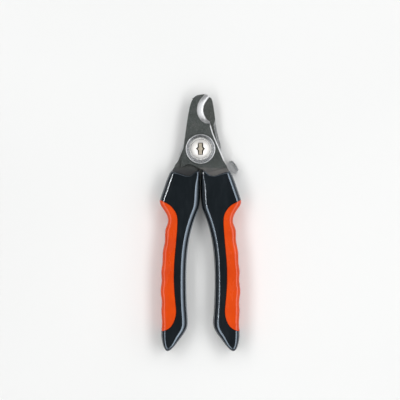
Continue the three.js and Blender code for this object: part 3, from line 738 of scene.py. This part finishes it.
def handle_screw(side, word, place, x, y):
    """Screw in the rear of a handle, with a tapering cross recess in its head."""
    profile = [[0, 0.6], [1.4, 0.62], [2.1, 0.8], [2.6, 1.15], [2.8, 1.5], [2.8, 2.45],
               [2.72, 2.53], [1.5, 2.55], [1.5, 11.9], [0.3, 13.1], [0, 13.1]]
    part = turned(profile, 64, x, y, name=f"{word}_{place}_screw")
    box = [(3, 2, 1, 0), (4, 5, 6, 7), (0, 1, 5, 4), (1, 2, 6, 5), (2, 3, 7, 6), (3, 0, 4, 7)]
    for wide, long in ((0.30, 1.75), (1.75, 0.30)):
        verts = []
        for z, taper in ((0.2, 1.0), (1.75, 0.45)):
            for sx, sy in ((-1, -1), (1, -1), (1, 1), (-1, 1)):
                verts.append((x + sx * wide * taper, y + sy * long * taper, z))
        cut(part, mesh_object(verts, box))
    finish_mesh(part, 30.0)
    dress(part, f"{word}_lever", "screw_zinc", f"{word}_screw_{place}", ZINC)


for side, word in LEVERS:
    front_moulding(side, word)
    rear_moulding(side, word)
    soft_inlay(side, word)
for side, word in LEVERS:
    for (x, y), place in zip(SCREWS, ("upper", "middle", "lower")):
        handle_screw(side, word, place, -side * x, y)

# ------------------------------------------------------------------ blades
FRONT_Z = (8.05, 11.0)              # inner and outer face of the front blade
REAR_Z = (5.0, 7.95)                # outer and inner face of the rear blade
BEVEL_EDGE_Z = 8.3
SPRING_RADIUS = 4.3
SPRING_LEG = 5.6
LEG_SPAN = math.degrees(math.atan2(SPRING_LEG, SPRING_RADIUS))
COIL_START = -150.0                 # degrees
COIL_END = COIL_START + 2.25 * 360


def hollow(t):
    """Height of a slightly hollow grind across its width, steep at the cutting edge."""
    return 0.16 * min(1.0, t / 0.07) + 0.84 * (0.62 * t + 0.38 * t ** 2.2)


def straight(t):
    return t


def grind_cutter(edge, limit, z_edge, z_face, overhang=1.6, stations=70, curve=straight):
    """Solid above a ground slope, from an edge to the line where it meets the face."""
    across, clear = 16, 2.5
    lines = []
    for points in (edge, limit):
        line = run(points, 0.1)
        wanted = np.linspace(0, len(line) - 1, stations)
        lines.append(sampled(line, range(len(line)), wanted))
    low, high = lines
    outward = low - high
    outward /= np.maximum(np.linalg.norm(outward, axis=1), 1e-6)[:, None]
    verts = []
    for start, end, away in zip(low, high, outward):
        section = [(start + away * overhang, z_edge)]
        for k in range(across + 1):
            t = k / across
            section.append((start * (1 - t) + end * t, z_edge + (z_face - z_edge) * curve(t)))
        section += [(end, z_face + clear), (start + away * overhang, z_face + clear)]
        verts += [(point[0], point[1], z) for point, z in section]
    n = across + 4
    caps = [tuple(range(n)), tuple(reversed(range((stations - 1) * n, stations * n)))]
    part = mesh_object(verts, side_quads(stations, n) + caps)
    outward_normals(part)
    return part


def bevel_cutter():
    return grind_cutter(EDGE, BEVEL_LIMIT, BEVEL_EDGE_Z, FRONT_Z[1], curve=hollow)


def flank_cutter(points, width, z_edge, z_face):
    """Cutter for a ground flank along an edge, with the metal to the right of the run."""
    edge = run(points, 0.4)
    tangent = np.gradient(edge, axis=0)
    tangent /= np.linalg.norm(tangent, axis=1)[:, None]
    right = np.column_stack([tangent[:, 1], -tangent[:, 0]])
    index = np.arange(len(edge))
    # narrows towards both ends
    widths = width * np.clip(np.minimum(index, index[::-1]) / 8.0, 0.15, 1.0)
    return grind_cutter(edge, edge + right * widths[:, None], z_edge, z_face, overhang=0.8,
                        stations=len(edge))


def step_cutter(outline, slope, face):
    """Cutter for the lowered field; slope is its change of inset over its half depth."""
    half_depth = 0.6
    return lofted([drawn_in(outline, slope), outline, drawn_in(outline, -slope)],
                  [face - half_depth, face, face + half_depth])


def open_tang(part, side, through, pocket, leg):
    """Pivot hole, pocket for the spring coil and its leg, and the two screw holes."""
    cut(part, disc(3.46, *through), disc(5.05, *pocket), sector(3.5, 7.8, *leg, *pocket))
    for x, y in SCREWS[:2]:
        cut(part, disc(1.9, *through, n=40, x=-side * x, y=y))
    finish_mesh(part, 18.0)
    flat_caps(part)


STEP = smooth(TANG_FIELD, 0.5, corner=60.0)


def front_blade():
    """Blade whose tang sits in the right handle."""
    outline = smooth(FRONT_BLADE, 0.35, corner=40.0)
    part = prism(outline, *FRONT_Z, 0.12, 0.22, name="front_cutting_blade")
    cut(part, bevel_cutter())
    cut(part, flank_cutter(FLANK[::-1], width=0.75, z_edge=10.58, z_face=FRONT_Z[1]))
    cut(part, step_cutter(STEP, slope=1.8, face=FRONT_Z[1]))
    open_tang(part, 1, through=(7, 12), pocket=(7, 9.65), leg=(COIL_END - 8, COIL_END + LEG_SPAN + 6))
    dress(part, "right_lever", "blade_steel", "front_blade", FRONT_STEEL, GROUND)
    # the bevel and the flank are bright
    for face, centre in faces_mm(part):
        normal = face.normal
        bevel = 8.1 < centre.z < 10.95 and centre.y > 12 and 0.15 < normal.z < 0.999
        flank = (centre.z > 10.1 and 0.2 < normal.z < 0.98 and normal.x > 0.3
                 and -11 < centre.y < 18)
        if bevel or flank:
            face.material_index = 1


def rear_blade():
    """Blade whose tang sits in the left handle."""
    outline = smooth(REAR_BLADE, 0.35, corner=40.0)
    part = prism(outline, *REAR_Z, 0.22, 0.12, name="rear_cutting_blade")
    # the same bevel on its outer face, turned over about the y direction
    bevel = bevel_cutter()
    for vertex in bevel.data.vertices:
        x, y, z = vertex.co
        vertex.co = Vector((-x, y, THICK * MM - z))
    cut(part, bevel)
    cut(part, flank_cutter(REAR_FLANK_LEFT, width=1.0, z_edge=7.0, z_face=REAR_Z[1]),
        flank_cutter(REAR_FLANK_RIGHT, width=1.6, z_edge=6.4, z_face=REAR_Z[1]))
    cut(part, step_cutter(mirrored(STEP), slope=-1.1, face=REAR_Z[0]))
    open_tang(part, -1, through=(4, 9), pocket=(6.35, 9),
              leg=(COIL_START - LEG_SPAN - 6, COIL_START + 35))
    dress(part, "left_lever", "blade_steel", "rear_blade", REAR_STEEL_SHADED, GROUND, PAINTED_SHADE_STEEL)
    for face, centre in faces_mm(part):
        normal = face.normal
        # both flanks are ground alike; the right-facing one gets the darker steel as painted shade
        if 6.3 < centre.z < 7.94 and 0.2 < normal.z < 0.98 and -11 < centre.y < 19:
            face.material_index = 2 if normal.x > 0 else 1
        if 5.05 < centre.z < 7.9 and centre.y > 12 and -0.999 < normal.z < -0.15:
            face.material_index = 1


front_blade()
rear_blade()

# ------------------------------------------------------------------ pivot
TEETH = 48
BORE = 2.6                          # hole radius of the washers


def tooth_groove(angle):
    """0 on a tooth of the knurled rim, 1 at the bottom of a groove."""
    return 0.5 - 0.5 * math.cos(TEETH * angle)


def knurl(r, z, angle):
    if 6.25 < r < 7.45 and 12.6 < z < 14.1:
        groove = tooth_groove(angle)
        r -= 0.46 * min(1.0, (r - 6.25) / 0.6) * groove ** 1.5
        z -= (0.24 * groove) if r > 6.2 and z > 13.2 else 0.0
    return r, z


def dome(r):
    """Height of the head's domed middle at radius r."""
    sphere, edge, edge_z = 11.2, 6.3, 13.95
    return edge_z + math.sqrt(sphere ** 2 - r ** 2) - math.sqrt(sphere ** 2 - edge ** 2)


def driver_recess(mouth, floor):
    """Cutter with one outline near the dome and a smaller one at the floor."""
    mouth, floor = np.array(mouth, float), np.array(floor, float)
    return lofted([floor, mouth, mouth + (mouth - floor)], [14.55, 15.55, 17.3])


def pivot_screw():
    """Screw with a knurled head; its recess is a square on its corner over a slot along y."""
    profile = [[0, 0.75], [2.2, 0.75], [2.5, 1.1], [2.5, 12.47], [7.0, 12.47], [7.25, 12.6],
               [7.4, 12.8], [7.4, 13.42], [7.34, 13.58], [7.2, 13.7], [7.0, 13.76],
               [6.7, 13.81], [6.36, 13.87], [6.22, 13.84], [6.12, 13.66], [5.94, 13.66],
               [5.84, dome(5.84) - 0.05]]
    profile += [[r, dome(r)] for r in (5.7, 5.4, 4.8, 4.2, 3.6, 3.0, 2.4, 1.8, 1.2, 0.6, 0)]
    part = turned(profile, TEETH * 6, warp=knurl, name="pivot_screw")
    cut(part, driver_recess([(-2.9, 0), (0, -2.9), (2.9, 0), (0, 2.9)],
                            [(-1.9, 0), (0, -1.9), (1.9, 0), (0, 1.9)]))
    cut(part, driver_recess([(-1.75, -4.05), (1.75, -4.05), (1.75, 4.05), (-1.75, 4.05)],
                            [(-1.0, -3.45), (1.0, -3.45), (1.0, 3.45), (-1.0, 3.45)]))
    finish_mesh(part, 30.0)
    dress(part, "right_lever", "polished_nickel", "pivot_bolt",
          NICKEL, RECESS_FLOOR_SHADE, RECESS_WALL_SHADE, PAINTED_SHADE_STEEL, RIM_HIGHLIGHT_NICKEL)
    # painted shade in the recess, the knurl's grooves and the groove round the dome; a painted
    # highlight on the rim
    for face, centre in faces_mm(part):
        x, y, z = centre
        r = math.hypot(x, y)
        if r < 4.6 and 13.3 < z < dome(r) - 0.04:
            face.material_index = 1 if face.normal.z > 0.8 else 2
        elif 6.45 < r < 7.5 and z > 12.62 and tooth_groove(math.atan2(y, x)) > 0.82:
            face.material_index = 3
        elif 5.86 < r < 6.2 and 13.5 < z < 13.86:
            face.material_index = 3
        elif r > 6.2 and z > 13.3:
            face.material_index = 4
    return part


def turned_part(name, node, profile, *materials, n=96, crease=40.0):
    part = turned(profile, n, name=name)
    finish_mesh(part, crease)
    dress(part, "right_lever", "plated_steel", node, *materials)
    return part


def ringed_washer():
    """Washer under the screw head, with a raised ring round its edge."""
    profile = [[BORE, 11.06], [9.15, 11.06], [9.3, 11.15], [9.35, 11.3], [9.35, 12.05],
               [9.29, 12.25], [9.16, 12.36], [8.98, 12.4], [8.8, 12.36], [8.66, 12.24],
               [8.5, 12.02], [8.3, 11.78], [8.05, 11.62], [7.8, 11.6], [7.6, 11.7],
               [7.48, 11.95], [7.4, 12.25], [7.3, 12.4], [BORE, 12.4], [BORE, 11.06]]
    # the washer is painted darker as shade inside its outer rim; the rim keeps the plain plated steel
    # and stands out bright
    part = turned_part("ringed_washer", "front_washer", profile, PAINTED_SHADE_STEEL, PLATED, n=160)
    for face, centre in faces_mm(part):
        if math.hypot(centre.x, centre.y) > 8.62:
            face.material_index = 1
    return part


def closed_nut():
    radius, height = 5.6, 2.5
    angles = [math.radians(60 * i) for i in range(6)]
    hexagon = np.array([(radius * math.cos(a), radius * math.sin(a)) for a in angles])
    part = lofted([hexagon, hexagon], [0.0, height], "closed_nut")
    combine(part, "INTERSECT", turned([
        [0, 0], [4.9, 0], [5.15, 0.12], [radius, 0.42], [radius, 2.15], [5.3, 2.4],
        [5.1, height], [0, height]], 120))
    cut(part, disc(2.56, 0.65, 3.2))
    finish_mesh(part, 28.0)
    dress(part, "right_lever", "plated_steel", "lock_nut", ZINC)


def swing_guard():
    """Plate behind the blades: finger, side tab, hub, a bar behind and a lip in front."""
    plate = dict(z0=3.2, z1=4.4, lower_edge=0.22, upper_edge=0.12)
    part = prism(smooth(GUARD_FINGER, 0.4, corner=60.0), **plate, name="swing_guard")
    hub = [[0, 3.2], [7.98, 3.2], [8.14, 3.27], [8.2, 3.42], [8.2, 4.3], [8.1, 4.4], [0, 4.4]]
    combine(part, "UNION",
            prism(smooth(GUARD_TAB, 0.4, corner=60.0), **plate),
            turned(hub, 120),
            prism(smooth(GUARD_BAR, 0.3, corner=40.0), 1.2, 3.6, lower_edge=0.3),
            prism(smooth(GUARD_LIP, 0.3, corner=50.0), 3.4, 7.2, upper_edge=0.22))
    cut(part, disc(2.62, 2, 5))
    finish_mesh(part, 30.0)
    dress(part, "guard", "plated_steel", "safety_guard", GUARD_STEEL, SPRING_WIRE_AND_LIP_SHADE)
    # painted shade: the top of the lip is darker
    for face, centre in faces_mm(part):
        if centre.z > 6.9 and face.normal.z > 0.2:
            face.material_index = 1


def spring_line(count):
    """Centre line of the coil with its two straight legs, evenly spread points."""
    z0, z1 = 6.95, 9.05
    ease = 0.12                     # part of the coil, at each end, where it starts to climb
    start, sweep = math.radians(COIL_START), math.radians(COIL_END - COIL_START)
    coil = SPRING_RADIUS * sweep
    points = []
    for i in range(count):
        travel = i / (count - 1) * (coil + 2 * SPRING_LEG)
        # past: distance along the tangent beyond the coil, negative before it
        if travel < SPRING_LEG:
            past, angle, z = travel - SPRING_LEG, start, z0
        elif travel > SPRING_LEG + coil:
            past, angle, z = travel - SPRING_LEG - coil, start + sweep, z1
        else:
            f = (travel - SPRING_LEG) / coil
            if f < ease:
                climb = f * f / (2 * ease)
            elif f > 1 - ease:
                climb = 1 - ease - (1 - f) ** 2 / (2 * ease)
            else:
                climb = f - ease / 2
            past, angle, z = 0.0, start + f * sweep, z0 + (z1 - z0) * climb / (1 - ease)
        points.append((SPRING_RADIUS * math.cos(angle) - past * math.sin(angle),
                       SPRING_RADIUS * math.sin(angle) + past * math.cos(angle), z))
    return np.array(points)


def torsion_spring():
    """Round wire along the spring line, its two ends slightly chamfered."""
    radius, sides, chamfer, end_radius = 0.43, 14, 0.12, 0.43 * 0.72
    line = spring_line(260)
    tangent = np.gradient(line, axis=0)
    tangent /= np.linalg.norm(tangent, axis=1)[:, None]
    first, last = tangent[0], tangent[-1]
    stations = [(line[0], first, end_radius), (line[0] + chamfer * first, first, radius)]
    stations += [(point, ahead, radius) for point, ahead in zip(line[1:-1], tangent[1:-1])]
    stations += [(line[-1] - chamfer * last, last, radius), (line[-1], last, end_radius)]
    verts = []
    for point, ahead, r in stations:
        across = np.cross(ahead, (0.0, 0.0, 1.0))
        across /= np.linalg.norm(across)
        normal = np.cross(across, ahead)
        for k in range(sides):
            a = 2 * math.pi * k / sides
            verts.append(point + r * (math.cos(a) * across + math.sin(a) * normal))
    count = len(stations)
    caps = [tuple(reversed(range(sides))), tuple(range((count - 1) * sides, count * sides))]
    part = mesh_object(verts, side_quads(count, sides) + caps, "torsion_spring")
    outward_normals(part)
    finish_mesh(part, 34.0)
    dress(part, "right_lever", "spring_wire", "return_spring", SPRING_WIRE_AND_LIP_SHADE)


bolt = pivot_screw()
ring = ringed_washer()
turned_part("back_washer", "rear_washer", [
    [BORE, 2.56], [6.8, 2.56], [6.95, 2.62], [7.0, 2.72], [7.0, 3.0], [6.95, 3.1], [6.8, 3.14],
    [BORE, 3.14], [BORE, 2.56]], PLATED)
turned_part("guard_side_washer", "guard_washer", [
    [BORE, 4.46], [7.5, 4.46], [7.6, 4.54], [7.6, 4.86], [7.5, 4.94], [BORE, 4.94],
    [BORE, 4.46]], PLATED)
closed_nut()
swing_guard()
turned_part("pivot_sleeve", "pivot_bushing", [
    [2.57, 5.12], [2.66, 5.04], [3.28, 5.04], [3.38, 5.12], [3.38, 5.3], [3.34, 5.34],
    [3.34, 10.66], [3.38, 10.7], [3.38, 10.88], [3.28, 10.96], [2.66, 10.96], [2.57, 10.88],
    [2.57, 5.12]], PLATED, crease=32.0)
torsion_spring()


# ------------------------------------------------------------------ stage (metres from here on)
def floor():
    n, size, z = 8, 3000, -0.02     # cells a side, mm, mm
    steps = range(n + 1)
    verts = [((i / n - 0.5) * size, (j / n - 0.5) * size, z) for j in steps for i in steps]
    corners = [j * (n + 1) + i for j in range(n) for i in range(n)]
    part = mesh_object(verts, [(a, a + 1, a + n + 2, a + n + 1) for a in corners], "floor")
    mat, tree, bsdf, coords = new_material("pale_floor")
    colour = ramp(tree, noise(tree, coords, scale=3.0, detail=2.0),
                  [(0.3, (0.80, 0.805, 0.80)), (0.7, (0.84, 0.845, 0.84))])
    tree.links.new(colour, bsdf.inputs["Base Color"])
    bsdf.inputs["Roughness"].default_value = 0.75
    bsdf.inputs["Specular IOR Level"].default_value = 0.2
    part.data.materials.append(mat)


def softbox(name, place, aim, size, watts, colour=(1, 1, 1), rule=None, parts=()):
    """Area light. rule INCLUDE lights only the parts, in reflections; EXCLUDE skips them."""
    light = bpy.data.lights.new(name, "AREA")
    light.shape = "RECTANGLE"
    light.size, light.size_y = size
    light.energy = watts
    light.color = colour
    lamp = bpy.data.objects.new(name, light)
    bpy.context.scene.collection.objects.link(lamp)
    lamp.location = place
    ray = Vector(aim) - Vector(place)
    z_axis = -ray.normalized()
    level = Vector((0, 1, 0)) if abs(ray.x) > abs(ray.y) else Vector((1, 0, 0))
    x_axis = (level - level.dot(z_axis) * z_axis).normalized()
    axes = Matrix((x_axis, z_axis.cross(x_axis), z_axis))
    lamp.rotation_euler = axes.transposed().to_euler()
    lamp.visible_camera = False
    if rule == "INCLUDE":
        lamp.visible_diffuse = False
    if rule:
        group = bpy.data.collections.new(name + "_receivers")
        for part in parts:
            group.objects.link(part)
        lamp.light_linking.receiver_collection = group
        for member in group.collection_objects:
            member.light_linking.link_state = rule


floor()

GLOSS = [bpy.data.objects[f"{word}_{half}_moulding"]
         for _, word in LEVERS for half in ("front", "rear")]
WHITE = (1, 1, 1)
# name, place, aim, size, watts, then colour, linking rule and the parts it names
SOFTBOXES = [
    ("left_box", (-0.62, 0.0, 1.05), (0, -0.03, 0), (1.5, 0.42), 6.6, WHITE, "EXCLUDE", GLOSS),
    ("left_line", (-0.47, 0.15, 1.05), (0, 0.15, 0), (0.32, 0.045), 4.2,
     (1.0, 0.87, 0.76), "INCLUDE", GLOSS),
    ("left_line_low", (-0.47, -0.085, 1.05), (0, -0.085, 0), (0.15, 0.04), 0.85,
     (1.0, 0.92, 0.86), "INCLUDE", GLOSS),
    ("right_fill", (0.40, 0.0, 1.05), (0, -0.03, 0), (1.5, 0.20), 4.6, WHITE, "INCLUDE", GLOSS),
    ("near_card", (-0.44, -0.46, 1.05), (0.05, -0.2, 0), (0.58, 0.34), 3.1,
     WHITE, "INCLUDE", GLOSS),
    ("right_box", (0.62, 0.0, 1.05), (0, -0.03, 0), (1.5, 0.42), 7.4),
    ("far_box", (0.0, 0.72, 1.05), (0, 0, 0), (0.9, 0.5), 2.6, WHITE, "EXCLUDE", [bolt, ring]),
    ("rim_near", (0.0, -0.34, 1.05), (0, 0, 0), (0.95, 0.13), 4.0, WHITE, "INCLUDE", [bolt]),
    ("ring_near", (0.0, -0.58, 1.05), (0, 0, 0), (0.9, 0.34), 2.0, WHITE, "INCLUDE", [ring]),
    ("rim_far", (0.03, 0.34, 1.05), (0, 0, 0), (0.6, 0.13), 2.2, WHITE, "INCLUDE", [bolt]),
    ("near_box", (0.0, -0.80, 1.00), (0, 0, 0), (0.9, 0.4), 1.4),
    ("right_card", (1.0, 0.1, 0.62), (0, 0, 0), (1.2, 0.5), 1.5),
]
for row in SOFTBOXES:
    softbox(*row)


def studio_world():
    """Grey surroundings, darker towards straight up."""
    world = bpy.data.worlds.new("studio")
    bpy.context.scene.world = world
    world.use_nodes = True
    tree = world.node_tree
    tree.nodes.clear()
    out = tree.nodes.new("ShaderNodeOutputWorld")
    background = tree.nodes.new("ShaderNodeBackground")
    coords = tree.nodes.new("ShaderNodeTexCoord")
    separate = tree.nodes.new("ShaderNodeSeparateXYZ")
    tree.links.new(coords.outputs["Generated"], separate.inputs[0])
    # height of the direction, grey level
    greys = [(0.0, 0.4), (0.35, 0.55), (0.62, 0.55), (0.86, 0.42), (0.95, 0.22), (1.0, 0.16)]
    colour = ramp(tree, separate.outputs["Z"], [(z, (grey,) * 3) for z, grey in greys])
    tree.links.new(colour, background.inputs["Color"])
    background.inputs["Strength"].default_value = 0.6
    tree.links.new(background.outputs[0], out.inputs["Surface"])


def camera():
    """Camera straight above the front face."""
    distance, view_width, sensor = 0.95, 0.2532, 36.0
    lens = bpy.data.cameras.new("camera")
    lens.sensor_fit = "HORIZONTAL"
    lens.sensor_width = sensor
    lens.lens = sensor * distance / view_width
    lens.clip_start = 0.01
    holder = bpy.data.objects.new("camera", lens)
    holder.location = (-0.0003, -0.0322, PARTING * MM + distance)
    bpy.context.scene.collection.objects.link(holder)
    bpy.context.scene.camera = holder


studio_world()
camera()
bpy.context.scene.view_settings.view_transform = "Standard"
bpy.context.scene.view_settings.look = "None"
